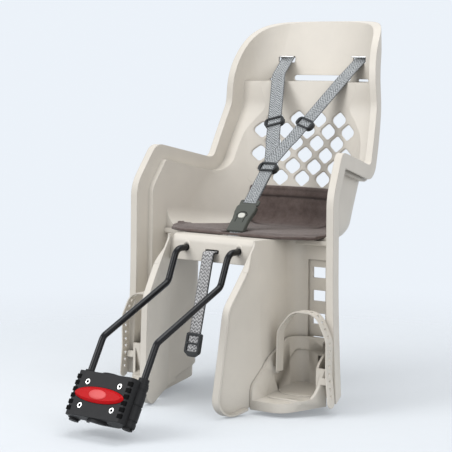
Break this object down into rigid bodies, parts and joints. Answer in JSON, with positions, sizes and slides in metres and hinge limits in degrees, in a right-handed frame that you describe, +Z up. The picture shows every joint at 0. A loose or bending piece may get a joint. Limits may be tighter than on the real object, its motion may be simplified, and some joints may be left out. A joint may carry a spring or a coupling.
{
  "type": "child bike seat",
  "caption": "Rear child bicycle seat: moulded shell with leg guards, cushion, harness with buckle, sliding foot rests with straps, and a bent-rod fork held in a seat-tube clamp block.",
  "frame": {"origin": "centre of the clamp on the bicycle's seat tube, half way along the rubber pads", "axes": "+Z up, the child faces -Y, +X on the child's left; the tube's axis leans back 31 degrees in the YZ plane"},
  "size_m": [0.482, 0.7574, 0.7041],
  "materials": {
    "shell": "fine satin grain",
    "cushion": "suede",
    "webbing": "herringbone weave",
    "webbing_light": "speckled weave",
    "webbing_dark": "plain weave",
    "dark_plastic": "satin",
    "buckle": "satin",
    "pale_plastic": "satin",
    "rod": "satin black powder coat",
    "block": "satin black",
    "red_plastic": "satin",
    "steel": "zinc plated",
    "pad": "matte",
    "strap_rubber": "soft matte"
  },
  "bodies": {
    "seat": {"seat_shell": "shell", "seat_cushion": "cushion", "shoulder_strap_left": "webbing", "shoulder_strap_right": "webbing", "crotch_strap": "webbing", "safety_strap": "webbing_light", "safety_tail": "webbing_dark", "strap_anchor_left": "dark_plastic", "strap_anchor_right": "dark_plastic", "crotch_anchor": "dark_plastic", "safety_anchor": "dark_plastic", "buckle_body": "buckle", "buckle_tongue": "buckle", "buckle_spring": "steel", "latch_spring_left": "steel", "latch_spring_right": "steel", "safety_buckle": "dark_plastic", "fork": "rod", "fork_bridge": "dark_plastic", "fork_screws": "steel", "block_housing": "block", "block_jaw": "block", "jaw_pad_front": "pad", "jaw_pad_rear": "pad", "clamp_screws": "steel", "clamp_nuts": "steel"},
    "release_button": {"release_button": "red_plastic"},
    "latch_left": {"latch_left": "steel"},
    "latch_right": {"latch_right": "steel"},
    "buckle_button": {"buckle_button": "pale_plastic"},
    "foot_left": {"foot_rest_left": "shell", "foot_strap_left": "strap_rubber"},
    "foot_right": {"foot_rest_right": "shell", "foot_strap_right": "strap_rubber"},
    "adjuster_left": {"adjuster_left": "dark_plastic"},
    "adjuster_right": {"adjuster_right": "dark_plastic"},
    "adjuster_lower": {"adjuster_lower": "dark_plastic"}
  },
  "joints": [
    {"name": "release_press", "type": "slide", "parent": "seat", "child": "release_button", "axis": [0, 0.8569, -0.5155], "range_m": [0, 0.0045], "stiffness_N_per_m": 1200, "springref_m": -0.004},
    {"name": "latch_left_slide", "type": "slide", "parent": "seat", "child": "latch_left", "axis": [-1, 0, 0], "range_m": [0, 0.003], "deforming": ["latch_spring_left"]},
    {"name": "latch_right_slide", "type": "slide", "parent": "seat", "child": "latch_right", "axis": [1, 0, 0], "range_m": [0, 0.003], "deforming": ["latch_spring_right"]},
    {"name": "buckle_press", "type": "slide", "parent": "seat", "child": "buckle_button", "axis": [0, 0.7193, -0.6947], "range_m": [0, 0.0025], "stiffness_N_per_m": 600, "springref_m": -0.002, "deforming": ["buckle_spring"]},
    {"name": "foot_left_slide", "type": "slide", "parent": "seat", "child": "foot_left", "axis": [0, 0, 1], "range_m": [0, 0.129]},
    {"name": "foot_right_slide", "type": "slide", "parent": "seat", "child": "foot_right", "axis": [0, 0, 1], "range_m": [0, 0.129]},
    {"name": "adjuster_left_slide", "type": "slide", "parent": "seat", "child": "adjuster_left", "axis": [0.3364, 0.6168, 0.7116], "range_m": [-0.025, 0.025]},
    {"name": "adjuster_right_slide", "type": "slide", "parent": "seat", "child": "adjuster_right", "axis": [-0.3364, 0.6168, 0.7116], "range_m": [-0.025, 0.025]},
    {"name": "adjuster_lower_slide", "type": "slide", "parent": "seat", "child": "adjuster_lower", "axis": [0, -0.6956, -0.7184], "range_m": [0, 0.04]}
  ],
  "couplings": [
    {"joint": "latch_left_slide", "follows": "release_press", "ratio": 0.65},
    {"joint": "latch_right_slide", "follows": "release_press", "ratio": 0.65}
  ]
}
